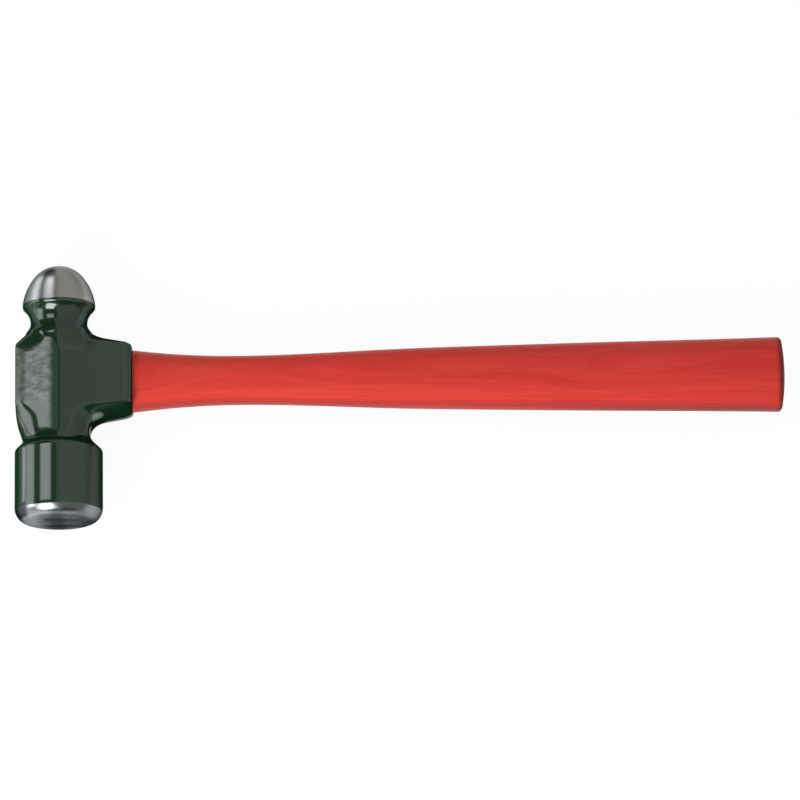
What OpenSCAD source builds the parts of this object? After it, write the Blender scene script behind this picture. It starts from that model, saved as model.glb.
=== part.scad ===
// Ball peen hammer: a forged steel head on an oval wooden handle.
// The handle's tongue fills the head's hourglass eye, bedded in a thin resin lining,
// and is spread there by one long wooden wedge and two short steel wedges driven across it.
// The hammer lies on its side: +X along the handle, +Y towards the ball, +Z up through the cheeks.
// The origin is the centre of the head's flat top, on the handle's axis. Sizes are in millimetres.

/* [Overall] */
// Length from the head's flat top to the end of the handle
overall_len = 400; // [330:1:440]
// Distance from the flat top to the axis of the barrel and the ball
head_top = 22.3; // [21:0.1:23.6]

/* [Striking end] */
// Diameter of the striking barrel
barrel_d = 45.8; // [43:0.2:50]
// Length of the barrel's straight side
barrel_len = 32.4; // [26:0.2:35]
// Distance along the head from the handle's axis to the middle of the crowned face
face_reach = 75.4; // [74:0.2:86]
// Diameter of the crowned face inside its edge bevel
face_d = 39.8; // [34:0.2:41]
// Length of the edge bevel along the head
face_bevel_len = 4.8; // [3:0.2:5.6]
// Radius of the face's crown
face_crown_r = 200; // [120:10:400]
// Diameter where the body's taper meets the slope behind the barrel
barrel_neck_d = 36.8; // [35:0.2:38]
// Angle of the body's taper towards the barrel, from the head's axis
taper_angle = 18.4; // [15:0.2:20]

/* [Ball end] */
// Distance along the head from the handle's axis to the top of the ball
ball_reach = 62.4; // [61.6:0.1:65]
// Diameter of the ball at its widest place, under the ridge
ball_d = 38.4; // [37.6:0.2:40]
// Distance from the ball's widest place to its top
ball_h = 24.5; // [23:0.1:26]
// Radius of the ball's round tip
ball_tip_r = 16.3; // [15.3:0.1:16.9]
// Distance from the ball's widest place up to the ridge's edge
ridge_rise = 2.5; // [1.8:0.1:3.4]
// Diameter of the neck under the ball
ball_neck_d = 29.6; // [28:0.2:31]
// Distance along the head from the handle's axis to the neck's thinnest place
ball_neck_at = 31.4; // [30:0.2:31.8]
// Radius of the groove that forms the neck
ball_neck_r = 10; // [8.6:0.2:11]
// Angle of the body's shoulder under the neck, from the head's axis
shoulder_angle = 46; // [40:1:50]

/* [Body] */
// Thickness across the flat cheeks
cheek_w = 36; // [34:0.2:39]
// Width of the flat top
top_w = 24; // [22:0.2:26]
// Bevel along the edges of the flat top
top_edge = 1; // [0.5:0.1:1.4]
// Distance from the flat top to the end of the skirt
skirt_end = 60.7; // [56:0.1:66]
// Height of the skirt at its end, on the parting line
skirt_h = 37.4; // [36:0.2:40]
// Angle at which the skirt widens from its end towards the head
skirt_flare = 11.3; // [9:0.1:13]
// Forging draft of the skirt from the parting line to the cheeks
skirt_draft = 10; // [6:0.5:12]
// Bevel along the skirt's end, above and below
skirt_edge = 1.2; // [0.6:0.1:1.6]
// Bevel along the skirt's end, at the cheeks
cheek_edge = 2; // [1:0.1:2.6]
// Distance from the handle's axis to the edges of the cheeks, above and below the skirt's bevelled corners
cheek_reach = 16.5; // [15.8:0.1:17.4]
// Angle of the skirt's corner bevels from the cheeks
corner_angle = 40; // [35:1:48]
// Radius of the notch between the skirt and the barrel
notch_r = 6.1; // [5:0.1:6.6]
// Distance from the head's axis to the bottom of the notch
notch_reach = 16.2; // [15:0.1:17.4]
// Distance from the head's axis to the flats drawn down across the body's corners
flat_reach = 19.2; // [18.8:0.1:19.8]
// Turn of those flats about the head's axis, from the cheeks
flat_turn = 40; // [36:1:44]
// Angle at which the flats rise from the barrel
flat_rise = 4; // [2:0.5:6]
// Radius of the scoop that ends the flats
flat_scoop_r = 13.4; // [11:0.2:16]
// Distance along the head from the handle's axis to the start of the scoop
flat_scoop_at = 23; // [21:0.2:25]
// Distance from the head's centre to the flats that slope up to the ball's neck
slope_flat_reach = 22.9; // [22.5:0.1:23.4]
// Turn of those flats about the head's axis, from the cheeks
slope_flat_turn = 25; // [22:1:28]
// Tilt of those flats towards the ball
slope_flat_tilt = 20; // [18:0.5:22]

/* [Eye] */
// Width of the eye at both mouths
eye_w = 17.6; // [16:0.1:18.6]
// Height of the eye at both mouths
eye_h = 25; // [23:0.1:26]
// How much the eye closes in on each side at its waist
eye_pinch = 1; // [0.4:0.1:1.4]
// Thickness of the resin lining
bond_t = 0.7; // [0.4:0.05:1]

/* [Wedges] */
// Thickness of the wooden wedge at the flat top
wood_wedge_t = 5; // [3.6:0.1:6]
// Length of the wooden wedge
wood_wedge_len = 38; // [30:0.5:42]
// Width of the saw kerf that takes the wooden wedge
kerf_w = 1.6; // [1:0.1:2]
// Depth of the saw kerf
kerf_depth = 45; // [43:0.5:50]
// Thickness of a steel wedge at the flat top
steel_wedge_t = 2.8; // [2.2:0.1:3.2]
// Thickness of a steel wedge at its tip
steel_wedge_tip = 0.8; // [0.5:0.1:1.2]
// Width of a steel wedge
steel_wedge_w = 11; // [9:0.2:12]
// Length of a steel wedge
steel_wedge_len = 20; // [14:0.5:24]
// Distance between the two steel wedges
steel_wedge_pitch = 12; // [10:0.2:13]
// Number of barbs on each face of a steel wedge
barbs = 3; // [2:1:4]
// Depth of a barb
barb_depth = 0.35; // [0.2:0.05:0.4]

/* [Handle] */
// Height of the handle where it seats against the skirt
seat_h = 32.6; // [31:0.1:33.8]
// Thickness of the handle where it seats against the skirt
seat_w = 27; // [25.4:0.1:29]
// Distance from the seat to the handle's slimmest place
waist_at = 55; // [45:1:70]
// Height of the handle at its slimmest place
waist_h = 25.6; // [23:0.1:28]
// Thickness of the handle at its slimmest place
waist_w = 21; // [19:0.1:23]
// Distance from the seat to the handle's belly
belly_at = 150; // [130:1:165]
// Height of the handle at its belly
belly_h = 31.9; // [30:0.1:33.4]
// Thickness of the handle at its belly
belly_w = 24.6; // [23.4:0.1:26]
// Distance from the seat to the middle of the palm swell
palm_at = 235; // [205:1:245]
// Height of the handle at the palm swell
palm_h = 35.6; // [34:0.1:37.2]
// Thickness of the handle at the palm swell
palm_w = 26.8; // [25.4:0.1:28]
// Height of the handle at its butt
butt_h = 39.2; // [37.6:0.1:42]
// Thickness of the handle at its butt
butt_w = 29.4; // [28.4:0.1:32]
// Radius of the butt's rounded edge
butt_round = 2.6; // [2:0.1:4]
// Height of the butt's shallow dome
butt_dome = 1.4; // [0.8:0.1:2]
// Squareness of the handle's oval section
oval_power = 2.25; // [2:0.05:2.6]

/* [Hidden] */
$fn = 64;
// Reach of a cutter past the surface it trims
over = 2;
// A cutter's size, larger than the head
far = 120;

// Striking end
barrel_r = barrel_d / 2;
face_r = face_d / 2;
crown_h = face_crown_r - sqrt(face_crown_r * face_crown_r - face_r * face_r);
face_edge_y = crown_h - face_reach;
barrel_front_y = face_edge_y + face_bevel_len;
barrel_back_y = barrel_front_y + barrel_len;
barrel_neck_r = barrel_neck_d / 2;
valley_y = barrel_back_y + barrel_r - barrel_neck_r;
// Where the taper ends, inside the barrel
taper_end_y = barrel_back_y - over;
// Radius of the core that joins the barrel to the ball, clear of the notch
core_r = notch_reach - over;
bevel_past = (crown_h + over) / face_bevel_len;

// Ball end
ball_r = ball_d / 2;
ball_centre_y = ball_reach - ball_h;
ridge_y = ball_centre_y + ridge_rise;
// The ball's flank is an arc from beyond the axis, and its tip is a little fuller than the flank asks
tip_swell = 0.3;
flank_drop = ball_r - ball_tip_r + tip_swell;
flank_back = (pow(ball_h - ball_tip_r + tip_swell, 2) - flank_drop * flank_drop) / 2 / flank_drop;
tip_h = ball_h - ball_tip_r;
flank_r = ball_r + flank_back;
tip_angle = atan(tip_h / flank_back);
ridge_r = sqrt(flank_r * flank_r - ridge_rise * ridge_rise) - flank_back;
neck_r = ball_neck_d / 2;
// Where the neck's groove runs out into the shoulder, and how much flatter than the shoulder it is there
groove_kink = 8;
groove_end = shoulder_angle - groove_kink;
shoulder_r = neck_r + ball_neck_r * (1 - cos(groove_end));
shoulder_y = ball_neck_at - ball_neck_r * sin(groove_end);

// Where the lines of the taper and of the shoulder meet
apex_y = (shoulder_r - barrel_neck_r + shoulder_y * tan(shoulder_angle) + valley_y * tan(taper_angle))
         / (tan(shoulder_angle) + tan(taper_angle));
apex_r = shoulder_r + (shoulder_y - apex_y) * tan(shoulder_angle);

// Body
cheek_z = cheek_w / 2;
top_z = top_w / 2;
facet_slope = (cheek_z - top_z) / head_top;
notch_x = head_top + notch_reach + notch_r;
// How far the notch bites into the skirt's ridge
notch_bite = 0.4;
notch_y = notch_bite - skirt_h / 2 - (skirt_end - notch_x) * tan(skirt_flare) - notch_r / cos(skirt_flare);

// Eye
eye_r = eye_w / 2;
eye_flat = (eye_h - eye_w) / 2;
eye_waist_x = skirt_end / 2;

// Handle
grip_len = overall_len - skirt_end;
butt_at = grip_len - butt_round - butt_dome;
stations = [0, waist_at, belly_at, palm_at, butt_at];
heights = [seat_h, waist_h, belly_h, palm_h, butt_h];
widths = [seat_w, waist_w, belly_w, palm_w, butt_w];
ring_points = 48;
ring_steps = [12, 9, 8, 8];
round_steps = 4;
round_sweep = 80;
dome_rings = [0.72, 0.38];

// Turns a profile of radius and height about the head's axis
module about_head_axis() {
    translate([head_top, 0, 0])
        rotate([-90, 0, 0])
            rotate_extrude()
                children();
}

// Barrel with its crowned face, both necks and the ball, as one half outline
module turned_outline() {
    difference() {
        intersection() {
            union() {
                polygon([
                    [0, face_edge_y - face_bevel_len * bevel_past],
                    [face_r - (barrel_r - face_r) * bevel_past, face_edge_y - face_bevel_len * bevel_past],
                    [barrel_r, barrel_front_y],
                    [barrel_r, barrel_back_y],
                    [core_r, barrel_back_y + barrel_r - core_r],
                    [shoulder_r, shoulder_y - over],
                    [ridge_r, ball_neck_at],
                    [ridge_r, ridge_y],
                    [0, ridge_y]
                ]);
                intersection() {
                    translate([-flank_back, ball_centre_y])
                        circle(r = flank_r);
                    translate([0, ridge_y])
                        square([far, ball_tip_r * sin(tip_angle) + tip_h - ridge_rise]);
                }
                translate([0, ball_reach - ball_tip_r])
                    circle(r = ball_tip_r);
            }
            translate([0, face_crown_r - face_reach])
                circle(r = face_crown_r, $fn = 360);
            translate([0, -far])
                square([far, 2 * far]);
        }
        translate([neck_r + ball_neck_r, ball_neck_at])
            circle(r = ball_neck_r);
    }
}

// Taper towards the barrel and shoulder under the ball, as one half outline
module shoulder_outline() {
    polygon([
        [0, taper_end_y],
        [barrel_neck_r - (valley_y - taper_end_y) * tan(taper_angle), taper_end_y],
        [apex_r, apex_y],
        [shoulder_r - over * tan(shoulder_angle), shoulder_y + over],
        [0, shoulder_y + over]
    ]);
}

// Taper and shoulder with flats drawn down across the corners: plain towards the ball,
// and ending in a round scoop towards the barrel
module drawn_body() {
    difference() {
        about_head_axis() shoulder_outline();
        for (x_side = [0, 1], z_side = [0, 1])
            translate([head_top, 0, 0])
                mirror([x_side, 0, 0])
                    mirror([0, 0, z_side]) {
                        rotate([0, flat_turn, 0])
                            translate([0, -flat_scoop_at, flat_reach])
                                rotate([flat_rise, 0, 0])
                                    flat_cutter();
                        rotate([0, slope_flat_turn, 0])
                            rotate([-slope_flat_tilt, 0, 0])
                                translate([-far, -far, slope_flat_reach])
                                    cube([2 * far, 2 * far, far]);
                    }
    }
}

// Cutter for one flat, from its scoop's start towards the barrel and upwards
module flat_cutter() {
    rotate([90, 0, 90])
        linear_extrude(height = far, center = true) {
            translate([-far, 0])
                square([far, far]);
            translate([0, flat_scoop_r])
                circle(r = flat_scoop_r);
            translate([-over, flat_scoop_r])
                square([flat_scoop_r + over, far]);
        }
}

// Flat top, sloping facets and flat cheeks, cut as one bar along the head
module cheek_bar() {
    rotate([90, 0, 0])
        linear_extrude(height = 2 * far, center = true)
            for (side = [0, 1])
                mirror([0, side])
                    polygon([
                        [0, 0],
                        [0, top_z - top_edge],
                        [top_edge, top_z + top_edge * facet_slope],
                        [head_top, cheek_z],
                        [skirt_end - cheek_edge, cheek_z],
                        [skirt_end, cheek_z - cheek_edge],
                        [skirt_end, 0]
                    ]);
}

// Cutter on the far side of a plane through the given place on the skirt's end,
// turned back by the first angle towards the head and by the second from the parting line to the cheek
module skirt_cutter(place, back, down) {
    translate(place)
        rotate([0, 0, -back])
            rotate([down, 0, 0])
                translate([-far, 0, -far])
                    cube([2 * far, far, 2 * far]);
}

// Skirt that carries the eye down onto the handle, flared and drafted
module skirt() {
    difference() {
        translate([head_top - over, -far / 2, -far / 2])
            cube([skirt_end - head_top + over, far, far]);
        for (y_side = [0, 1], z_side = [0, 1])
            mirror([0, y_side, 0])
                mirror([0, 0, z_side]) {
                    skirt_cutter([skirt_end, skirt_h / 2, 0], skirt_flare, skirt_draft);
                    skirt_cutter([skirt_end, skirt_h / 2 - skirt_edge, 0], 45, skirt_draft);
                    skirt_cutter([skirt_end, cheek_reach, cheek_z], 0, 90 - corner_angle);
                }
    }
}

// Cutter for the notch: round against the skirt, then straight down to the slope behind the barrel
module notch_cutter() {
    translate([notch_x, notch_y, 0])
        linear_extrude(height = 2 * far, center = true) {
            circle(r = notch_r);
            translate([-notch_r, -far])
                square([far, far]);
        }
}

// Straight-sided oval bar that narrows from both mouths to a waist, smaller all round by the given inset
module eye_bar(inset, past_top, past_skirt) {
    mouth = eye_r - inset;
    waist = mouth - eye_pinch;
    rise = eye_pinch / eye_waist_x;
    for (half = [[-past_top, eye_waist_x, mouth + rise * past_top, waist],
                 [eye_waist_x, skirt_end + past_skirt, waist, mouth + rise * past_skirt]]) {
        for (side = [-1, 1])
            translate([half[0], side * eye_flat, 0])
                rotate([0, 90, 0])
                    cylinder(h = half[1] - half[0], r1 = half[2], r2 = half[3]);
        rotate([90, 0, 0])
            linear_extrude(height = 2 * eye_flat, center = true)
                polygon([
                    [half[0], -half[2]],
                    [half[1], -half[3]],
                    [half[1], half[3]],
                    [half[0], half[2]]
                ]);
    }
}

// Wooden wedge's blade, thick at the flat top, as wide as asked
module wood_blade(width) {
    rotate([90, 0, 0])
        linear_extrude(height = width, center = true)
            polygon([
                [0, -wood_wedge_t / 2],
                [wood_wedge_len, -kerf_w / 2],
                [wood_wedge_len, kerf_w / 2],
                [0, wood_wedge_t / 2]
            ]);
}

// Plain blade of a steel wedge, lying across the wooden one
module steel_blade() {
    linear_extrude(height = steel_wedge_w, center = true)
        polygon([
            [0, -steel_wedge_t / 2],
            [steel_wedge_len, -steel_wedge_tip / 2],
            [steel_wedge_len, steel_wedge_tip / 2],
            [0, steel_wedge_t / 2]
        ]);
}

// Steel wedge with barbs across both faces
module steel_wedge() {
    gap = steel_wedge_len / (barbs + 2);
    taper = (steel_wedge_t - steel_wedge_tip) / 2 / steel_wedge_len;
    barb_run = 3 * barb_depth;
    difference() {
        steel_blade();
        for (side = [0, 1], i = [1 : barbs])
            mirror([0, side, 0])
                translate([i * gap, steel_wedge_t / 2 - taper * i * gap, 0])
                    linear_extrude(height = steel_wedge_w + 2 * over, center = true)
                        polygon([
                            [-barb_depth, over],
                            [-barb_depth, 0],
                            [0, -barb_depth],
                            [barb_run, 0],
                            [barb_run, over]
                        ]);
    }
}

// Both steel wedges' plain blades in their places
module steel_blades() {
    for (side = [-1, 1])
        translate([0, side * steel_wedge_pitch / 2, 0])
            steel_blade();
}

// Smooth run of a size along the handle: the value, and its slope, at station number i
function rise_after(v, i) = (v[i + 1] - v[i]) / (stations[i + 1] - stations[i]);
function even_slope(a, b) = a * b <= 0 ? 0 : 2 * a * b / (a + b);
function slope_at(v, i) =
    i == 0 ? 2 * rise_after(v, 0) :
    i == len(stations) - 1 ? 1.5 * rise_after(v, i - 1) :
    even_slope(rise_after(v, i - 1), rise_after(v, i));
function blend(v, i, u) =
    let (run = stations[i + 1] - stations[i], u2 = u * u, u3 = u * u * u)
    v[i] * (2 * u3 - 3 * u2 + 1) + v[i + 1] * (3 * u2 - 2 * u3)
    + run * (slope_at(v, i) * (u3 - 2 * u2 + u) + slope_at(v, i + 1) * (u3 - u2));

// One oval ring of the handle: place along X, half height and half thickness
function oval(angle, half) = sign(cos(angle)) * pow(abs(cos(angle)), 2 / oval_power) * half;
function ring(x, half_h, half_w) = [
    for (k = [0 : ring_points - 1])
        let (a = 360 * (k + 0.5) / ring_points)
        [skirt_end + x, oval(a, half_h), oval(a - 90, half_w)]
];

// All rings from the seat to the butt's dome
grip_rings = [
    for (i = [0 : len(ring_steps) - 1], k = [0 : ring_steps[i] - 1])
        let (u = k / ring_steps[i], x = stations[i] + u * (stations[i + 1] - stations[i]))
        ring(x, blend(heights, i, u) / 2, blend(widths, i, u) / 2),
    for (k = [0 : round_steps])
        let (a = round_sweep * k / round_steps, inset = butt_round * (1 - cos(a)))
        ring(butt_at + butt_round * sin(a), butt_h / 2 - inset, butt_w / 2 - inset),
    for (s = dome_rings)
        let (x = butt_at + butt_round + butt_dome * (1 - s * s))
        ring(x, s * (butt_h / 2 - butt_round), s * (butt_w / 2 - butt_round))
];

// Oval grip lofted through the rings and closed with a shallow dome
module grip() {
    count = len(grip_rings);
    last = (count - 1) * ring_points;
    polyhedron(
        points = concat([for (r = grip_rings) each r], [[overall_len, 0, 0]]),
        faces = concat(
            [[for (k = [0 : ring_points - 1]) k]],
            [for (i = [0 : count - 2], k = [0 : ring_points - 1])
                let (a = i * ring_points + k, b = i * ring_points + (k + 1) % ring_points)
                each [[a, a + ring_points, b], [b, a + ring_points, b + ring_points]]],
            [for (k = [0 : ring_points - 1]) [last + k, count * ring_points, last + (k + 1) % ring_points]]
        )
    );
}

// Forged head with its eye
module head() {
    color("DarkSlateGray")
        difference() {
            union() {
                about_head_axis() turned_outline();
                difference() {
                    intersection() {
                        cheek_bar();
                        union() {
                            drawn_body();
                            skirt();
                        }
                    }
                    notch_cutter();
                }
            }
            eye_bar(0, over, over);
        }
}

// Wooden handle: grip and sawn, wedged tongue
module handle() {
    color("Firebrick")
        union() {
            grip();
            difference() {
                intersection() {
                    eye_bar(bond_t, 0, 0);
                    translate([0, -far / 2, -far / 2])
                        cube([skirt_end, far, far]);
                }
                wood_blade(far);
                translate([wood_wedge_len - over, -far / 2, -kerf_w / 2])
                    cube([kerf_depth - wood_wedge_len + over, far, kerf_w]);
                steel_blades();
            }
        }
}

// Cured resin between the tongue and the eye
module eye_bond() {
    color("Goldenrod")
        difference() {
            eye_bar(0, 0, 0);
            eye_bar(bond_t, over, over);
        }
}

// Long wooden wedge along the eye
module wood_wedge() {
    color("BurlyWood")
        difference() {
            intersection() {
                eye_bar(bond_t, 0, 0);
                wood_blade(far);
            }
            steel_blades();
        }
}

// Steel wedge on the striking face's side
module steel_wedge_face_side() {
    color("Silver")
        translate([0, -steel_wedge_pitch / 2, 0])
            steel_wedge();
}

// Steel wedge on the ball's side
module steel_wedge_ball_side() {
    color("Silver")
        translate([0, steel_wedge_pitch / 2, 0])
            steel_wedge();
}

head();
handle();
eye_bond();
wood_wedge();
steel_wedge_face_side();
steel_wedge_ball_side();
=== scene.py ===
"""Ball peen hammer: forged lacquered head with ground face and ball, on a red lacquered wooden handle."""

import math

import bmesh
import bpy
import numpy as np
import openvdb
from mathutils import Matrix, Vector


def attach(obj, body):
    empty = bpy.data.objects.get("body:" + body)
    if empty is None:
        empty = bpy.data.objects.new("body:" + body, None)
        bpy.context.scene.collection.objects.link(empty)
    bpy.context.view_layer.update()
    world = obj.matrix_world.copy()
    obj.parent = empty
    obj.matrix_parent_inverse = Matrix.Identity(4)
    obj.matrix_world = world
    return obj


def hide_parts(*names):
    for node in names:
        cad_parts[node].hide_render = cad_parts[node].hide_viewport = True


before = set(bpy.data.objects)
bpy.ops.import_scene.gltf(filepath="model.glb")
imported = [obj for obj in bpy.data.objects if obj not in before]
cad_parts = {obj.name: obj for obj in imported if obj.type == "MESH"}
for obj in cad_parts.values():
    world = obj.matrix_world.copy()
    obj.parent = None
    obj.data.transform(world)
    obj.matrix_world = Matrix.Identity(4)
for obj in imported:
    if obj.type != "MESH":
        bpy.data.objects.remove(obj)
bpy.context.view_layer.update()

# A millimetre in the frame's metres
MM = 0.001

# Sizes and angles shared with the solids, in millimetres
HEAD_TOP = 22.3
BARREL_R = 22.9
BARREL_LEN = 32.4
FACE_R = 19.9
FACE_REACH = 75.4
BEVEL_LEN = 4.8
CROWN_R = 200.0
VALLEY_R = 18.4
TAPER = math.radians(18.4)
BALL_REACH = 62.4
BALL_R = 19.2
BALL_H = 24.5
TIP_R = 16.3
RIDGE_RISE = 2.5
NECK_R = 14.8
NECK = 31.4
GROOVE_R = 10.0
SHOULDER = math.radians(46.0)
GROOVE_END = math.radians(38.0)
CHEEK = 18.0
TOP_HALF = 12.0
SKIRT_END = 60.7
SKIRT_HALF = 18.7
SKIRT_FLARE = math.radians(11.3)
SKIRT_DRAFT = math.radians(10.0)
SKIRT_EDGE = 1.2
CHEEK_EDGE = 2.0
CHEEK_REACH = 16.5
CORNER_ANGLE = math.radians(40.0)
NOTCH_R = 6.1
NOTCH_REACH = 16.2
NOTCH_BITE = 0.4
FLAT_REACH = 19.2
FLAT_TURN = math.radians(40.0)
FLAT_RISE = math.radians(4.0)
FLAT_SCOOP_R = 13.4
FLAT_SCOOP_AT = 23.0
EYE_R = 8.8
EYE_FLAT = 3.7
EYE_PINCH = 1.0
OVERALL = 400.0
BUTT_ROUND = 2.6
BUTT_DOME = 1.4
BUTT_AT = OVERALL - SKIRT_END - BUTT_ROUND - BUTT_DOME
STATIONS = (0.0, 55.0, 150.0, 235.0, BUTT_AT)
HEIGHTS = (32.6, 25.6, 31.9, 35.6, 39.2)
WIDTHS = (27.0, 21.0, 24.6, 26.8, 29.4)
OVAL_POWER = 2.25

# Where the finer skin of the head departs from the solid, fitted to the photograph
TOP_EDGE = 2.4
TOP_BEVEL = math.radians(40.0)
SKIRT_LEAN = 0.7
SLOPE_FLAT_REACH = 21.9
SLOPE_FLAT_TURN = math.radians(22.7)
SLOPE_FLAT_TILT = math.radians(15.0)
SLOPE_FLAT_FADE = (27.5, 45.0)
SLOPE_FLAT_FADE_DEPTH = 30.0
PARTING_ROUND = 2.0

# How far the head's bodies reach into each other, and how finely its skin is drawn
POST_SINK = 6.5
SKIRT_SINK = 6.0
BLOCK_SINK = 1.5
HEAD_LOW = (-2.4, -77.2, -24.6)
HEAD_HIGH = (62.4, 63.0, 24.6)
HEAD_CELL = 0.6
BAND_CELLS = 4.0
DRAW_PASSES = 4
LEAST_SLOPE = 0.05

# How the handle's skin is drawn
SEAT_ROUND = 0.5
GRIP_AROUND = 112
GRIP_STEPS = 240

# Places along the head that follow from those sizes
FACE_EDGE = CROWN_R - math.sqrt(CROWN_R**2 - FACE_R**2) - FACE_REACH
BARREL_FRONT = FACE_EDGE + BEVEL_LEN
BARREL_BACK = BARREL_FRONT + BARREL_LEN
VALLEY = BARREL_BACK + BARREL_R - VALLEY_R
BALL_MID = BALL_REACH - BALL_H
FLANK_BACK = ((BALL_H - TIP_R) ** 2 - (BALL_R - TIP_R) ** 2) / 2 / (BALL_R - TIP_R)
FLANK_R = BALL_R + FLANK_BACK
RIDGE_R = math.sqrt(FLANK_R**2 - RIDGE_RISE**2) - FLANK_BACK


# Forged head, as a distance field whose edges and corners are softened
def soft_union(a, b, blend):
    h = np.maximum(blend - np.abs(a - b), 0.0) / blend
    return np.minimum(a, b) - h * h * (blend / 4.0)


def soft_cut(a, b, blend):
    return -soft_union(-a, -b, blend)


def smooth_step(value, low, high):
    u = np.clip((value - low) / (high - low), 0.0, 1.0)
    return u * u * (3.0 - 2.0 * u)


def barrel_field(r, y):
    """Barrel with a crowned face, the long bevel round it and the slope behind."""
    bevel = np.array([FACE_EDGE - BARREL_FRONT, FACE_R - BARREL_R])
    bevel = bevel / np.hypot(*bevel)
    side = r - BARREL_R
    front = -bevel[0] * (r - BARREL_R) + bevel[1] * (y - BARREL_FRONT)
    crown = np.hypot(r, y - (CROWN_R - FACE_REACH)) - CROWN_R
    back = (r - BARREL_R + y - BARREL_BACK) * math.sqrt(0.5)
    field = soft_cut(side, back, blend=0.9)
    field = soft_cut(field, front, blend=1.2)
    return soft_cut(field, crown, blend=2.4)


def ball_field(r, y):
    """Round tip that runs on into a flatter flank, a ridge under it, and the neck's groove."""
    tip_y = BALL_REACH - TIP_R
    on_tip = (y - tip_y) * FLANK_BACK > r * (tip_y - BALL_MID)
    tip = np.hypot(r, y - tip_y) - TIP_R
    flank = np.hypot(r + FLANK_BACK, y - BALL_MID) - FLANK_R
    dome = np.where(on_tip, tip, flank)
    post = soft_cut(dome, r - RIDGE_R, blend=0.5)
    groove = GROOVE_R - np.hypot(r - NECK_R - GROOVE_R, y - NECK)
    post = soft_cut(post, groove, blend=0.9)
    return np.maximum(post, NECK - POST_SINK - y)


def taper_field(across, y, z):
    """Taper behind the barrel, with flats drawn down across its corners that end in round scoops."""
    cone = (np.hypot(across, z) - VALLEY_R) * math.cos(TAPER) - (y - VALLEY) * math.sin(TAPER)
    out = np.abs(across) * math.sin(FLAT_TURN) + np.abs(z) * math.cos(FLAT_TURN) - FLAT_REACH
    along = y + FLAT_SCOOP_AT
    up = out * math.cos(FLAT_RISE) - along * math.sin(FLAT_RISE)
    scoop = FLAT_SCOOP_R - np.hypot(np.maximum(along, 0.0), FLAT_SCOOP_R - up)
    flat = np.where(up > FLAT_SCOOP_R, FLAT_SCOOP_R - along, np.where(along > 0.0, scoop, up))
    return soft_cut(cone, flat, blend=1.6)


def slope_field(r, y):
    """Shoulder that runs from the neck's groove out to the cheeks."""
    groove_r = NECK_R + GROOVE_R * (1 - math.cos(GROOVE_END))
    groove_y = NECK - GROOVE_R * math.sin(GROOVE_END)
    return (r - groove_r) * math.cos(SHOULDER) + (y - groove_y) * math.sin(SHOULDER)


def slope_flat_field(across, y, z):
    """Flats drawn down across the shoulder's corners, up into the neck's groove."""
    out = np.abs(across) * math.sin(SLOPE_FLAT_TURN) + np.abs(z) * math.cos(SLOPE_FLAT_TURN)
    flat = out * math.cos(SLOPE_FLAT_TILT) + y * math.sin(SLOPE_FLAT_TILT) - SLOPE_FLAT_REACH
    return flat - SLOPE_FLAT_FADE_DEPTH * smooth_step(y, *SLOPE_FLAT_FADE)


def skirt_field(x, y, z):
    """Skirt that flares back from its end, with draft towards the cheeks and sloping corners."""
    ay = np.abs(y - SKIRT_LEAN)
    az = np.sqrt(z * z + PARTING_ROUND**2) - PARTING_ROUND
    flare = math.tan(SKIRT_FLARE)
    draft = math.tan(SKIRT_DRAFT)
    back = SKIRT_END - x
    wall = (ay - SKIRT_HALF - back * flare + az * draft) / math.sqrt(1 + flare**2 + draft**2)
    edge = (ay - SKIRT_HALF + SKIRT_EDGE - back + az * draft) / math.sqrt(2 + draft**2)
    corner = (ay - CHEEK_REACH) * math.sin(CORNER_ANGLE) + (np.abs(z) - CHEEK) * math.cos(CORNER_ANGLE)
    field = soft_cut(wall, corner, blend=4.0)
    field = soft_cut(field, edge, blend=2.0)
    return np.maximum(field, HEAD_TOP - SKIRT_SINK - x)


def cheek_field(x, z):
    """Flat cheeks and the facets that slope from them to the flat top, with bevels at both ends."""
    az = np.abs(z)
    run = math.hypot(HEAD_TOP, CHEEK - TOP_HALF)
    facet = (HEAD_TOP * (az - CHEEK) - (CHEEK - TOP_HALF) * (x - HEAD_TOP)) / run
    end_bevel = (az - CHEEK + CHEEK_EDGE + x - SKIRT_END) * math.sqrt(0.5)
    top_bevel = (az - TOP_HALF) * math.cos(TOP_BEVEL) + (TOP_EDGE - x) * math.sin(TOP_BEVEL)
    field = soft_cut(az - CHEEK, facet, blend=0.35)
    field = soft_cut(field, end_bevel, blend=1.6)
    field = soft_cut(field, x - SKIRT_END, blend=0.8)
    field = soft_cut(field, -x, blend=0.7)
    return soft_cut(field, top_bevel, blend=0.8)


def eye_field(x, y, z):
    """Long eye, pinched at its waist."""
    waist = SKIRT_END / 2
    wall = EYE_R - EYE_PINCH * (1 - np.abs(x - waist) / waist)
    return np.hypot(np.maximum(np.abs(y) - EYE_FLAT, 0.0), z) - wall


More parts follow.
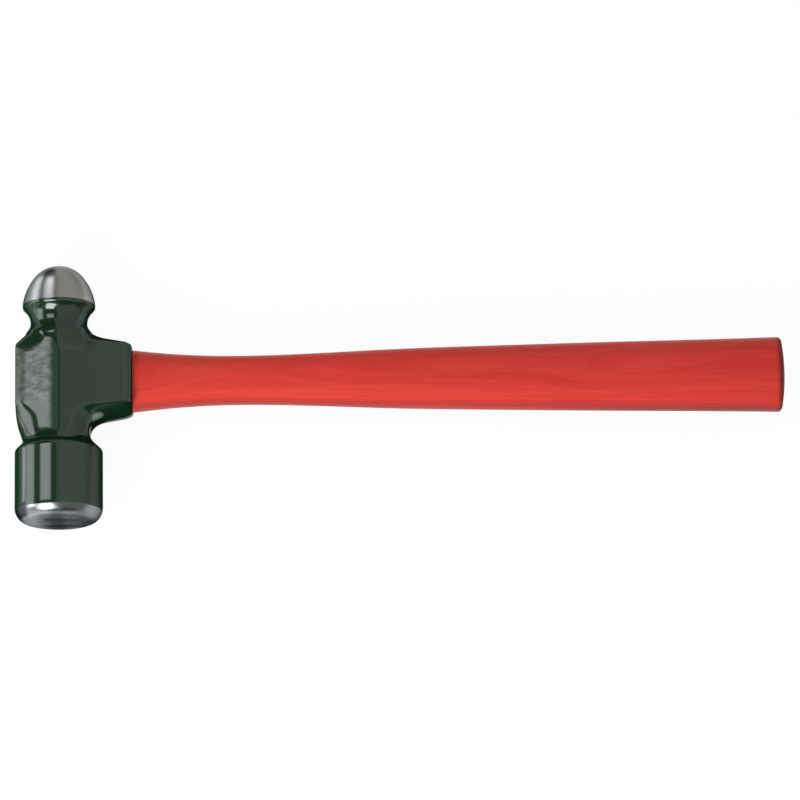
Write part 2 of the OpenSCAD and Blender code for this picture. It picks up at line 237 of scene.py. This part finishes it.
def head_field(x, y, z):
    """The whole forging: block, skirt, barrel and ball run together, with cheeks, notch and eye cut."""
    across = x - HEAD_TOP
    r = np.hypot(across, z)
    notch_x = HEAD_TOP + NOTCH_REACH + NOTCH_R
    notch_y = NOTCH_BITE - SKIRT_HALF - (SKIRT_END - notch_x) * math.tan(SKIRT_FLARE)
    notch_y -= NOTCH_R / math.cos(SKIRT_FLARE)
    slope_flat = slope_flat_field(across, y, z)
    block = soft_cut(taper_field(across, y, z), slope_field(r, y), blend=3.0)
    block = soft_cut(block, slope_flat, blend=2.0)
    block = np.maximum(block, VALLEY - BLOCK_SINK - y)
    body = soft_union(block, skirt_field(x, y, z), blend=4.0)
    over_cheek = smooth_step(x, HEAD_TOP - 5.0, HEAD_TOP + 3.0)
    shoulder = smooth_step(y, 6.0, 16.0) * over_cheek * (1.0 - smooth_step(x, 34.0, 44.0))
    scoop = (1.0 - smooth_step(y, -16.0, -8.0)) * (1.0 - over_cheek)
    cheek_blend = 0.9 + 3.6 * shoulder + 0.9 * scoop
    body = soft_cut(body, cheek_field(x, z), blend=cheek_blend)
    notch = NOTCH_R - np.hypot(x - notch_x, np.maximum(y - notch_y, 0.0))
    notch = np.where(y < notch_y, np.maximum(notch, NOTCH_R - notch_x + x), notch)
    body = soft_cut(body, notch, blend=2.5)
    field = soft_union(body, barrel_field(r, y), blend=2.2)
    field = soft_union(field, soft_cut(ball_field(r, y), slope_flat, blend=2.0), blend=3.0)
    return soft_cut(field, -eye_field(x, y, z), blend=0.5)


def field_slope(field, points, step=0.02):
    """How the field changes at each point, along X, Y and Z."""
    slope = np.empty_like(points)
    for axis in range(3):
        shift = np.zeros(3)
        shift[axis] = step
        slope[:, axis] = (field(*(points + shift).T) - field(*(points - shift).T)) / (2 * step)
    return slope


def surface_of(field, low, high, cell):
    """Quads on a field's zero level, each corner drawn onto the level, with the level's own normals."""
    counts = np.ceil((np.array(high) - np.array(low)) / cell).astype(int) + 1
    lines = [low[i] + cell * np.arange(counts[i]) for i in range(3)]
    values = field(*np.meshgrid(*lines, indexing="ij", sparse=True)).astype(np.float32)
    values = np.broadcast_to(values, counts)
    band = BAND_CELLS * cell
    grid = openvdb.FloatGrid(band)
    grid.copyFromArray(np.clip(values, -band, band))
    points, quads = grid.convertToQuads(0.0)
    points = np.asarray(points, dtype=float) * cell + np.array(low)
    for _ in range(DRAW_PASSES):
        slope = field_slope(field, points)
        length = np.maximum((slope**2).sum(1), LEAST_SLOPE)
        move = (field(*points.T) / length)[:, None] * slope
        points = points - np.clip(move, -0.5 * cell, 0.5 * cell)
    slope = field_slope(field, points)
    normals = slope / np.maximum(np.linalg.norm(slope, axis=1), 1e-9)[:, None]
    return points, np.asarray(quads), normals


def new_piece(name, points, faces, normals=None):
    """A smooth piece from points in millimetres, with its faces turned outwards."""
    mesh = bpy.data.meshes.new(name)
    mesh.from_pydata((np.asarray(points) * MM).tolist(), [], [list(map(int, f)) for f in faces])
    mesh.validate()
    piece = bpy.data.objects.new(name, mesh)
    bpy.context.scene.collection.objects.link(piece)
    tidy = bmesh.new()
    tidy.from_mesh(mesh)
    bmesh.ops.recalc_face_normals(tidy, faces=tidy.faces)
    tidy.to_mesh(mesh)
    tidy.free()
    mesh.shade_smooth()
    if normals is not None:
        mesh.normals_split_custom_set_from_vertices(normals.tolist())
    return piece


head_points, head_quads, head_normals = surface_of(head_field, HEAD_LOW, HEAD_HIGH, HEAD_CELL)
forged_head = new_piece("forged_head", head_points, head_quads, head_normals)


# Handle: the grip as a fine loft, and the tongue as the solid has it
def run_slopes(values):
    """Slopes at the handle's stations that never overshoot between them."""
    rise = np.diff(values) / np.diff(STATIONS)
    inner = [0.0 if a * b <= 0 else 2 * a * b / (a + b) for a, b in zip(rise[:-1], rise[1:])]
    return [2 * rise[0], *inner, 1.5 * rise[-1]]


def along_handle(values, s):
    """A size of the handle's ovals at a run s from the seat."""
    slopes = run_slopes(values)
    i = np.clip(np.searchsorted(STATIONS, s, side="right") - 1, 0, len(STATIONS) - 2)
    at = np.array(STATIONS)
    v = np.array(values)
    m = np.array(slopes)
    run = at[i + 1] - at[i]
    u = (s - at[i]) / run
    keep = 2 * u**3 - 3 * u**2 + 1
    rise = 3 * u**2 - 2 * u**3
    bend = run * (m[i] * (u**3 - 2 * u**2 + u) + m[i + 1] * (u**3 - u**2))
    return v[i] * keep + v[i + 1] * rise + bend


def oval(angle, half, shift=0.0):
    """One coordinate of a slightly squared oval."""
    c = np.cos(angle - shift)
    return np.sign(c) * np.abs(c) ** (2 / OVAL_POWER) * half


def grip_rings(around, steps):
    """Rings of half height and half thickness from the seat to the butt's dome."""
    runs = np.linspace(0, BUTT_AT, steps)
    grip = [(s, along_handle(HEIGHTS, s) / 2, along_handle(WIDTHS, s) / 2) for s in runs]
    _, seat_h, seat_w = grip[0]
    rings = []
    for a in np.linspace(0, math.pi / 2, 4)[:-1]:
        inset = SEAT_ROUND * (1 - math.sin(a))
        rings.append((SEAT_ROUND * (1 - math.cos(a)), seat_h - inset, seat_w - inset))
    rings += grip[1:]
    for a in np.linspace(0, math.radians(80), 10)[1:]:
        inset = BUTT_ROUND * (1 - math.cos(a))
        rings.append((BUTT_AT + BUTT_ROUND * math.sin(a), HEIGHTS[-1] / 2 - inset, WIDTHS[-1] / 2 - inset))
    h = HEIGHTS[-1] / 2 - BUTT_ROUND
    w = WIDTHS[-1] / 2 - BUTT_ROUND
    for share in np.linspace(0.94, 0.06, 14):
        rings.append((BUTT_AT + BUTT_ROUND + BUTT_DOME * (1 - share**2), share * h, share * w))
    angle = 2 * math.pi * (np.arange(around) + 0.5) / around
    return [
        np.column_stack([np.full(around, SKIRT_END + s), oval(angle, h), oval(angle, w, math.pi / 2)])
        for s, h, w in rings
    ]


def loft(rings, tip):
    """Rings joined by quads, closed flat at the first ring and drawn to a tip after the last."""
    around = len(rings[0])
    points = np.vstack([*rings, [tip]])
    last = (len(rings) - 1) * around
    faces = [list(range(around))[::-1]]
    for i in range(len(rings) - 1):
        for k in range(around):
            a = i * around + k
            b = i * around + (k + 1) % around
            faces.append([a, b, b + around, a + around])
    faces += [[last + k, last + (k + 1) % around, len(points) - 1] for k in range(around)]
    return points, faces


def tongue_of(node):
    """The part of the handle's solid that lies in the eye, copied."""
    shape = bmesh.new()
    shape.from_mesh(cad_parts[node].data)
    shape.transform(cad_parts[node].matrix_world)
    bmesh.ops.remove_doubles(shape, verts=shape.verts, dist=2e-6)
    seat = (SKIRT_END - 0.02) * MM
    grip = [f for f in shape.faces if all(v.co.x > seat for v in f.verts)]
    bmesh.ops.delete(shape, geom=grip, context="FACES")
    shape.verts.index_update()
    points = [tuple(c / MM for c in v.co) for v in shape.verts]
    faces = [[v.index for v in f.verts] for f in shape.faces]
    shape.free()
    return points, faces


grip_points, grip_faces = loft(grip_rings(GRIP_AROUND, GRIP_STEPS), tip=(OVERALL, 0.0, 0.0))
tongue_points, tongue_faces = tongue_of("handle")
shift = len(grip_points)
lacquered_handle = new_piece(
    "lacquered_handle",
    np.vstack([grip_points, tongue_points]),
    grip_faces + [[i + shift for i in f] for f in tongue_faces],
)
lacquered_handle.data.set_sharp_from_angle(angle=math.radians(35))


# Finishes
class Wire:
    """One value, colour or vector on its way through a finish's nodes."""

    def __init__(self, finish, socket):
        self.finish = finish
        self.socket = socket

    def _math(self, operation, *values):
        return self.finish.node("ShaderNodeMath", {"operation": operation}, dict(enumerate(values)))

    def __add__(self, other):
        return self._math("ADD", self, other)

    def __sub__(self, other):
        return self._math("SUBTRACT", self, other)

    def __rsub__(self, other):
        return self._math("SUBTRACT", other, self)

    def __mul__(self, other):
        return self._math("MULTIPLY", self, other)

    def __truediv__(self, other):
        return self._math("DIVIDE", self, other)

    def __rtruediv__(self, other):
        return self._math("DIVIDE", other, self)

    def __pow__(self, other):
        return self._math("POWER", self, other)

    def __rpow__(self, other):
        return self._math("POWER", other, self)

    def __neg__(self):
        return self._math("MULTIPLY", self, -1.0)

    def __abs__(self):
        return self._math("ABSOLUTE", self)

    __radd__ = __add__
    __rmul__ = __mul__

    def at_least(self, other):
        return self._math("MAXIMUM", self, other)

    def ramp(self, low, high):
        """0 below low, 1 above high, smooth between."""
        return self.finish.node(
            "ShaderNodeMapRange", {"interpolation_type": "SMOOTHSTEP"},
            {"Value": self, "From Min": low, "From Max": high})


class Board:
    """A tree of nodes, emptied and built up again."""

    def __init__(self, owner):
        owner.use_nodes = True
        self.tree = owner.node_tree
        self.tree.nodes.clear()

    def node(self, kind, settings=None, sockets=None, out=0):
        """A node of the given type, with its settings made and its sockets set or linked."""
        node = self.tree.nodes.new(kind)
        for key, value in (settings or {}).items():
            setattr(node, key, value)
        for key, value in (sockets or {}).items():
            if isinstance(value, Wire):
                self.tree.links.new(value.socket, node.inputs[key])
            else:
                node.inputs[key].default_value = value
        return Wire(self, node.outputs[out]) if node.outputs else None

    def split(self, vector):
        """A vector as three values."""
        outs = self.node("ShaderNodeSeparateXYZ", sockets={0: vector}).socket.node.outputs
        return [Wire(self, outs[i]) for i in range(3)]


class Finish(Board):
    """A material made of one Principled shader and the nodes that feed it."""

    def __init__(self, name, **fixed):
        self.material = bpy.data.materials.new(name)
        super().__init__(self.material)
        fixed = {socket.replace("_", " "): value for socket, value in fixed.items()}
        self.shader = self.node("ShaderNodeBsdfPrincipled", sockets=fixed)
        self.node("ShaderNodeOutputMaterial", sockets={"Surface": self.shader})

    def place(self):
        """The point on the surface in millimetres, as a vector and as three values."""
        point = self.node("ShaderNodeTexCoord", out="Object")
        point = self.node("ShaderNodeVectorMath", {"operation": "SCALE"}, {0: point, "Scale": 1 / MM})
        return point, self.split(point)

    def facing(self):
        """The surface's own normal as three values."""
        return self.split(self.node("ShaderNodeTexCoord", out="Normal"))

    def vector(self, x, y, z):
        return self.node("ShaderNodeCombineXYZ", sockets={0: x, 1: y, 2: z})

    def stretched(self, point, x, y, z):
        return self.node("ShaderNodeVectorMath", {"operation": "MULTIPLY"}, {0: point, 1: (x, y, z)})

    def noise(self, point, size, detail=2.0, rough=0.5, warp=0.0):
        """Clouds of about the given size in millimetres, from 0 to 1."""
        return self.node("ShaderNodeTexNoise", {"noise_dimensions": "3D"}, {
            "Vector": point, "Scale": 1.0 / size, "Detail": detail, "Roughness": rough, "Distortion": warp})

    def mix(self, share, first, second):
        first, second = [v if isinstance(v, Wire) else (*v, 1.0) for v in (first, second)]
        return self.node("ShaderNodeMix", {"data_type": "RGBA"}, {0: share, 6: first, 7: second}, out=2)

    def bump(self, height):
        """A normal that follows a relief given in millimetres."""
        return self.node("ShaderNodeBump", sockets={"Height": height, "Distance": MM, "Strength": 1.0})

    def show(self, shader):
        self.tree.links.new(shader.socket, self.tree.nodes["Material Output"].inputs["Surface"])

    def show_white(self, share):
        """Lifts what the camera, metal and glass see of this surface towards plain white."""
        rays = self.node("ShaderNodeLightPath").socket.node.outputs
        seen = Wire(self, rays["Is Camera Ray"])
        for ray in ("Is Glossy Ray", "Is Transmission Ray"):
            seen = seen.at_least(Wire(self, rays[ray]))
        white = self.node("ShaderNodeEmission", sockets={"Strength": 1.0})
        self.show(self.node("ShaderNodeMixShader", sockets={0: seen * share, 1: self.shader, 2: white}))

    def over_body(self, share, colour, rough):
        """Lays the shader over a plain coloured one that shows through by the given share."""
        body = self.node("ShaderNodeBsdfPrincipled", sockets={
            "Specular IOR Level": 0.0, "Roughness": rough, "Base Color": colour})
        self.show(self.node("ShaderNodeMixShader", sockets={0: share, 1: self.shader, 2: body}))

    def feed(self, **wires):
        """Links what changes over the surface to the shader, and gives the finished material."""
        inputs = self.shader.socket.node.inputs
        for socket, wire in wires.items():
            self.tree.links.new(wire.socket, inputs[socket.replace("_", " ")])
        return self.material


# Where bare steel starts towards the ball and towards the face, where the face's bevel starts along Y,
# the painted glint under the skirt, the pitch of the ball's turning marks and the least lean of its shading
BALL_GROUND_FROM = (40.7, 41.1)
FACE_GROUND_FROM = (69.4, 69.75)
BEVEL_FROM = (-75.0, -73.4)
GLINT_X = 42.6
GLINT_Z = 8.6
GLINT_HALF_X = 4.2
GLINT_HALF_Z = 4.6
TURNING_PITCH = 0.12
LEAN_FROM = 0.0243


def head_finish():
    """Dark green lacquer with a metal's sheen, and bare ground steel on the ball and the face."""
    f = Finish("lacquered_and_ground_steel", Metallic=1.0, Specular_Tint=(0.13, 0.13, 0.13, 1.0))
    point, (x, y, z) = f.place()
    across = x - HEAD_TOP
    r = (across * across + z * z) ** 0.5
    ragged = f.noise(point, 3.0, 3.0) - 0.5
    on_ball = (y + ragged * 0.35).ramp(*BALL_GROUND_FROM)
    on_face = (ragged * 0.3 - y).ramp(*FACE_GROUND_FROM)
    bare = on_ball.at_least(on_face)

    # Lacquer over the forging, pitted on the facets
    cloud = f.noise(point, 14.0, 3.0)
    pits = f.noise(f.stretched(point, 0.7, 1.0, 1.0), 3.4, 2.0, 0.5)
    hatch = f.noise(f.stretched(point, 0.45, 1.0, 1.0), 1.8, 2.0, 0.6)
    nx, ny, _ = f.facing()
    forged = 1.0 - x.ramp(HEAD_TOP - 3.0, HEAD_TOP - 1.0)
    forged = forged * y.ramp(-17.0, -8.0) * (1.0 - y.ramp(12.0, 18.0))
    sheen = f.mix(cloud, (0.076, 0.082, 0.083), (0.086, 0.092, 0.093))
    sheen = f.mix(forged * pits.ramp(0.35, 0.65), sheen, (0.140, 0.144, 0.147))
    sheen = f.mix(forged * hatch.ramp(0.5, 0.72) * 0.7, sheen, (0.045, 0.050, 0.050))
    # Painted reflection: a brighter sheen on the cheeks lifts them as more light would
    on_cheek = x.ramp(HEAD_TOP + 1.0, HEAD_TOP + 4.0) * abs(z).ramp(CHEEK - 1.0, CHEEK - 0.2)
    sheen = f.mix(on_cheek * 0.8, sheen, (0.104, 0.107, 0.108))

    # Painted shade along the facet's edge, at the facet's foot and on the skirt's underside, and a painted
    # glint under the skirt
    corner = (x + ragged * 2.4).ramp(16.8, 20.4) * (1.0 - y.ramp(18.0, 21.0))
    foot = (ragged - y).ramp(27.2, 29.0) * x.ramp(9.5, 12.0)
    painted_shade = corner.at_least(foot) * y.ramp(-34.0, -32.5) * (1.0 - x.ramp(22.1, 22.5))
    painted_shade = painted_shade.at_least((-ny).ramp(0.72, 0.88))
    sheen = f.mix(painted_shade * 0.95, sheen, (0.006, 0.008, 0.008))
    # Painted glint: a brighter sheen in a small spot on the skirt's underside
    from_glint = (abs(x - GLINT_X) / GLINT_HALF_X) ** 2.0 + (abs(z - GLINT_Z) / GLINT_HALF_Z) ** 2.0
    painted_glint = (1.0 - from_glint.ramp(0.1, 1.0)) * (-ny).ramp(0.5, 0.7)
    sheen = f.mix(painted_glint, sheen, (0.24, 0.27, 0.26))
    green = f.mix(cloud, (0.026, 0.110, 0.040), (0.034, 0.130, 0.052))

    # Ground ball, with turning marks and a shading that leans towards its tip
    turn = f.node("ShaderNodeMath", {"operation": "ARCTAN2"}, {0: r, 1: y - BALL_MID})
    turned = f.noise(f.vector(turn * (BALL_R / TURNING_PITCH), 0.0, 0.0), 1.0, 0.0)
    rise = (y - BALL_MID).at_least(0.0)
    drawn = (rise * rise / (rise * rise + r * r + 0.01) - LEAN_FROM).at_least(0.0)
    shade = f.noise(f.vector(turn * 5.0, across * 0.05, z * 0.05), 1.0, 2.0)
    ball_steel = f.mix(shade, (0.37, 0.375, 0.355), (0.44, 0.445, 0.42))
    # Painted shade: the steel is darker where the ball turns towards +X and +Y, and where it turns towards
    # -X
    ball_steel = f.mix((nx * 0.8 + ny * 0.6).ramp(0.5, 0.95), ball_steel, (0.25, 0.25, 0.245))
    ball_steel = f.mix((-nx).ramp(0.0, 0.35), ball_steel, (0.235, 0.25, 0.25))

    # Struck face, and the bevel round it
    scuffs = f.noise(f.stretched(point, 0.6, 1.0, 1.0), 6.0, 2.0, 0.5)
    # Painted reflection: the face's steel is much brighter towards -X, and painted shade darkens a spot
    # near its middle and the side towards +X
    painted_face_shade = across.ramp(-14.0, -5.0)
    face_steel = f.mix(scuffs.ramp(0.35, 0.65), (0.25, 0.26, 0.27), (0.38, 0.39, 0.41))
    painted_dark_spot = 1.0 - (abs(across + 0.5) / 6.5).ramp(0.15, 1.0)
    face_steel = f.mix(painted_dark_spot.at_least(across.ramp(8.0, 13.0) * 0.7) * 0.7, face_steel, (0.17, 0.18, 0.185))
    face_steel = f.mix(painted_face_shade, f.mix(scuffs, (0.60, 0.63, 0.66), (0.74, 0.76, 0.80)), face_steel)
    bevel_steel = f.mix(scuffs.ramp(0.35, 0.65), (0.36, 0.385, 0.39), (0.50, 0.53, 0.545))
    # Painted shade and painted highlight on the bevel: darker on its upper -X side and towards +X, lighter
    # again on its upper +X side, with the bright band left between
    upper = z.ramp(-6.0, 2.0)
    bevel_steel = f.mix((-across).ramp(13.5, 17.0) * upper * 0.9, bevel_steel, (0.07, 0.077, 0.08))
    bevel_steel = f.mix(across.ramp(-6.0, -0.5) * 0.87, bevel_steel, (0.14, 0.15, 0.155))
    bevel_steel = f.mix(across.ramp(12.5, 16.0) * upper * 0.6, bevel_steel, (0.38, 0.40, 0.41))
    face_steel = f.mix(y.ramp(*BEVEL_FROM), face_steel, bevel_steel)
    steel = f.mix(on_face, ball_steel, face_steel)

    # All of it together
    colour = f.mix(bare, sheen, steel)
    rough = 0.15 + forged * (0.05 + pits * 0.14) + on_ball * 0.13 + on_face * (0.08 + scuffs * 0.12)
    rough = rough + forged * (1.0 - x.ramp(3.5, 7.0)) * 0.25
    turned_ends = (-y).ramp(35.0, 37.0).at_least(y.ramp(24.0, 27.0))
    rough = rough + (1.0 - bare) * turned_ends * (across.ramp(6.0, 18.0) * 0.16)
    relief = forged * (pits - 0.5) * 0.3 + drawn * (BALL_R * 0.6)
    relief = relief + on_ball * (turned * 0.012) + on_face * (scuffs - 0.5) * 0.25
    normal = f.bump(relief)
    f.over_body((1.0 - bare) * 0.21, green, rough=0.5)
    return f.feed(Base_Color=colour, Roughness=rough, Normal=normal)


def handle_finish():
    """Red lacquer over wood grain, darker on the butt, with painted shade below, and bare wood in the eye.
    """
    f = Finish("red_lacquered_wood", Coat_Roughness=0.22, Coat_IOR=1.45, Specular_IOR_Level=0.12)
    point, (x, y, z) = f.place()
    _, ny, _ = f.facing()
    bend = f.noise(f.stretched(point, 0.01, 0.05, 0.05), 1.0, 2.0)
    rings = f.noise(f.vector(x * 0.004, y * 0.05 + z * 0.32 + bend * 1.6, z * 0.02), 0.35, 3.0, 0.6)
    pores = f.noise(f.stretched(point, 0.035, 1.6, 1.6), 1.0, 2.0, 0.6).ramp(0.56, 0.74)
    wash = f.noise(f.stretched(point, 0.02, 0.06, 0.06), 1.0, 2.0)
    red = f.mix(rings.ramp(0.3, 0.7), (0.80, 0.060, 0.044), (0.70, 0.043, 0.031))
    red = f.mix(pores * 0.30, red, (0.42, 0.020, 0.017))
    red = f.mix(wash.ramp(0.35, 0.7) * 0.22, red, (0.82, 0.072, 0.050))
    # Painted shade: the red is darker where the handle faces -Y, and darker still along that edge towards
    # the butt
    red = f.mix((-ny).ramp(0.70, 1.0) * 0.65, red, (0.36, 0.026, 0.022))
    underside = (-ny).ramp(0.92, 1.0) * x.ramp(250.0, 350.0)
    red = f.mix(underside * 0.45, red, (0.09, 0.010, 0.009))
    end_grain = x.ramp(OVERALL - 5.2, OVERALL - 1.6)
    speck = f.noise(f.stretched(point, 0.05, 1.0, 1.0), 0.8, 2.0)
    red = f.mix(end_grain, red, f.mix(speck, (0.15, 0.020, 0.018), (0.30, 0.040, 0.032)))

    # Bare wood of the tongue
    in_eye = 1.0 - x.ramp(SKIRT_END - 0.3, SKIRT_END - 0.1)
    ring_place = f.vector(x * 0.02, y + bend * 4.0, z + bend * 3.0)
    ring_end = f.node("ShaderNodeTexWave", {"wave_type": "BANDS", "bands_direction": "Z"}, {
        "Vector": ring_place, "Scale": 0.16, "Distortion": 1.2, "Detail": 2.0})
    bare_wood = f.mix(ring_end, (0.46, 0.27, 0.13), (0.62, 0.41, 0.22))
    bare_wood = f.mix(speck.ramp(0.55, 0.7) * 0.6, bare_wood, (0.22, 0.12, 0.055))
    colour = f.mix(in_eye, red, bare_wood)
    rough = 0.42 + rings * 0.08 + pores * 0.08 + end_grain * 0.2 + in_eye * 0.2
    relief = rings * 0.02 - pores * 0.025 + end_grain * (speck * 0.06) + in_eye * (speck * 0.05)
    coat = (1.0 - in_eye) * (1.0 - end_grain) * 0.16
    return f.feed(Base_Color=colour, Roughness=rough, Coat_Weight=coat, Normal=f.bump(relief))


def wedge_wood_finish():
    """Bare wood, planed along the wedge."""
    f = Finish("bare_wedge_wood", Specular_IOR_Level=0.3)
    point, _ = f.place()
    grain = f.noise(f.stretched(point, 0.05, 0.25, 1.6), 1.0, 3.0, 0.6)
    pores = f.noise(f.stretched(point, 0.05, 1.2, 1.2), 0.7, 2.0).ramp(0.55, 0.7)
    colour = f.mix(grain, (0.52, 0.33, 0.17), (0.70, 0.49, 0.28))
    colour = f.mix(pores * 0.6, colour, (0.27, 0.15, 0.07))
    relief = grain * 0.05 - pores * 0.05
    return f.feed(Base_Color=colour, Roughness=0.6 + grain * 0.15, Normal=f.bump(relief))


def wedge_steel_finish():
    """Ground steel with scratches along it and brown stains."""
    f = Finish("ground_wedge_steel")
    point, (x, y, z) = f.place()
    scratch = f.noise(f.vector(x, y * 0.3 + z * 2.6, z * 0.1), 1.0, 3.0, 0.6)
    stain = f.noise(point, 2.4, 3.0)
    colour = f.mix(scratch, (0.38, 0.38, 0.38), (0.56, 0.56, 0.56))
    colour = f.mix(stain.ramp(0.55, 0.75) * 0.5, colour, (0.26, 0.20, 0.15))
    rough = 0.28 + scratch * 0.16
    metal = 1.0 - stain.ramp(0.6, 0.8) * 0.3
    return f.feed(Base_Color=colour, Roughness=rough, Metallic=metal, Normal=f.bump(scratch * 0.02))


def resin_finish():
    """Cloudy amber resin."""
    f = Finish("cured_amber_resin", IOR=1.55)
    point, _ = f.place()
    cloud = f.noise(point, 1.8, 3.0)
    colour = f.mix(cloud, (0.20, 0.105, 0.030), (0.40, 0.235, 0.075))
    return f.feed(Base_Color=colour, Roughness=0.16 + cloud * 0.2, Normal=f.bump(cloud * 0.05))


def dress(piece, material):
    piece.data.materials.clear()
    piece.data.materials.append(material)


def dress_solid(node, material):
    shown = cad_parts[node]
    for place in shown.material_slots:
        place.material = material


dress(forged_head, head_finish())
dress(lacquered_handle, handle_finish())
dress_solid("wood_wedge", wedge_wood_finish())
wedge_steel = wedge_steel_finish()
dress_solid("steel_wedge_face_side", wedge_steel)
dress_solid("steel_wedge_ball_side", wedge_steel)
dress_solid("eye_bond", resin_finish())

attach(forged_head, "root")
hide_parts("head")
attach(lacquered_handle, "root")
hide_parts("handle")


# Floor, under the three places the hammer lies on
MIDDLE_OF_MASS = np.array([44.0, -7.0, 0.0])
FLOOR_HALF = 3000
FIRST_TILT = math.radians(2.0)
LAST_TILT = math.radians(0.002)
LEAST_GAIN = 1e-9
TILT_TRIES = ((1, 0), (-1, 0), (0, 1), (0, -1), (1, 1), (-1, -1), (1, -1), (-1, 1), (0, 0))


def up_from(tilt):
    """Upward direction of a floor that is tilted along X and Y."""
    up = np.array([math.tan(tilt[0]), math.tan(tilt[1]), 1.0])
    return up / np.linalg.norm(up)


def lie_plane(points, middle):
    """Upward direction and height of the floor on which the middle of mass lies lowest."""
    best = None
    tilt = np.zeros(2)
    step = FIRST_TILT
    while step > LAST_TILT:
        keep = None
        for turn in TILT_TRIES:
            trial = tilt + step * np.array(turn)
            up = up_from(trial)
            rise = middle @ up - (points @ up).min()
            if best is None or rise < best - LEAST_GAIN:
                best = rise
                keep = trial
        if keep is None:
            step *= 0.5
        else:
            tilt = keep
    up = up_from(tilt)
    return up, (points @ up).min()


outer_points = np.vstack([head_points, grip_points])
floor_up, floor_level = lie_plane(outer_points, MIDDLE_OF_MASS)


def make_floor():
    """White paper, which shows plain white to the camera and in reflections."""
    corners = [(FLOOR_HALF * i, FLOOR_HALF * k, 0) for i, k in ((-1, -1), (1, -1), (1, 1), (-1, 1))]
    floor = new_piece("floor", corners, [(0, 1, 2, 3)])
    turn = Vector((0, 0, 1)).rotation_difference(Vector(floor_up))
    drop = Matrix.Translation(Vector(floor_up) * float(floor_level) * MM)
    floor.matrix_world = drop @ turn.to_matrix().to_4x4()
    f = Finish("white_paper", Specular_IOR_Level=0.1)
    point, _ = f.place()
    fibre = f.noise(point, 1.5, 2.0)
    colour = f.mix(fibre, (0.86, 0.86, 0.86), (0.88, 0.88, 0.88))
    f.feed(Base_Color=colour, Roughness=0.8 + fibre * 0.1)
    f.show_white(0.95)
    dress(floor, f.material)


make_floor()


# Camera, world and lamps
def look_from(azimuth, elevation, roll, distance, aim, lens):
    """The camera, turned about its aim by angles in degrees."""
    az, el, ro = (math.radians(a) for a in (azimuth, elevation, roll))
    back = Vector((math.sin(az) * math.cos(el), -math.cos(az) * math.cos(el), math.sin(el)))
    right = Vector((math.cos(az), math.sin(az), 0.0))
    up = back.cross(right)
    right, up = right * math.cos(ro) + up * math.sin(ro), up * math.cos(ro) - right * math.sin(ro)
    turn = Matrix((right, up, back)).transposed().to_4x4()
    camera = bpy.data.objects.new("camera", bpy.data.cameras.new("camera"))
    camera.matrix_world = Matrix.Translation(Vector(aim) + back * distance) @ turn
    camera.data.lens = lens
    camera.data.sensor_width = 36.0
    camera.data.clip_end = 50.0
    bpy.context.scene.collection.objects.link(camera)
    bpy.context.scene.camera = camera


look_from(
    azimuth=-1.7966, elevation=75.1, roll=1.0919,
    distance=3.2, aim=(0.19966, -0.01149, 0.0), lens=276.87)


def soft_lamp(name, place, aim, width, height, strength, lean=(0.0, 1.0, 0.0)):
    """A lit panel that faces its aim, with its height along lean; places and sizes are in metres."""
    lamp = bpy.data.lights.new(name, "AREA")
    lamp.shape = "RECTANGLE"
    lamp.size = width
    lamp.size_y = height
    lamp.energy = strength * math.pi * width * height
    holder = bpy.data.objects.new(name, lamp)
    to = Vector(aim) - Vector(place)
    side = to.cross(Vector(lean)).normalized()
    along = side.cross(to).normalized()
    turn = Matrix((side, along, -to.normalized())).transposed().to_4x4()
    holder.matrix_world = Matrix.Translation(Vector(place)) @ turn
    bpy.context.scene.collection.objects.link(holder)


soft_lamp("left_high_strip", (-0.680, 0.28, 1.106), (0.0, 0.28, 0.0), width=0.64, height=0.6, strength=3.0)
soft_lamp("left_low_strip", (-1.30, -0.05, 0.30), (0.0, -0.05, 0.30), width=0.64, height=1.5, strength=3.0)
soft_lamp("front_bank", (-0.62, -1.20, 0.90), (0.1, 0.0, 0.0), width=0.8, height=0.9, strength=9.2)

# Lit card on the floor, in line with what the barrel's left side mirrors
CARD_MIDDLE = (-277.0, 22.0)
CARD_LIFT = 2.0
CARD_LEAN = (0.263, 0.965, 0.0)
card_level = (floor_level - np.dot(floor_up[:2], CARD_MIDDLE)) / floor_up[2]
card_place = np.array([*CARD_MIDDLE, card_level + CARD_LIFT]) * MM
soft_lamp(
    "left_low_card", card_place, card_place + floor_up,
    width=0.348, height=0.040, strength=3.7, lean=CARD_LEAN)


def studio_world():
    """Grey room to the right and overhead, dark to the left and low in front."""
    world = bpy.data.worlds.new("studio")
    bpy.context.scene.world = world
    room = Board(world)
    x, y, _ = room.split(room.node("ShaderNodeTexCoord", out="Generated"))
    lit = (x + y.ramp(0.35, 0.6) * 0.18).ramp(-0.085, -0.056) * y.ramp(-0.88, -0.76)
    level = 0.03 + lit * 0.47
    light = room.node("ShaderNodeBackground", sockets={"Color": level})
    room.node("ShaderNodeOutputWorld", sockets={"Surface": light})


studio_world()
bpy.context.scene.view_settings.view_transform = "Standard"
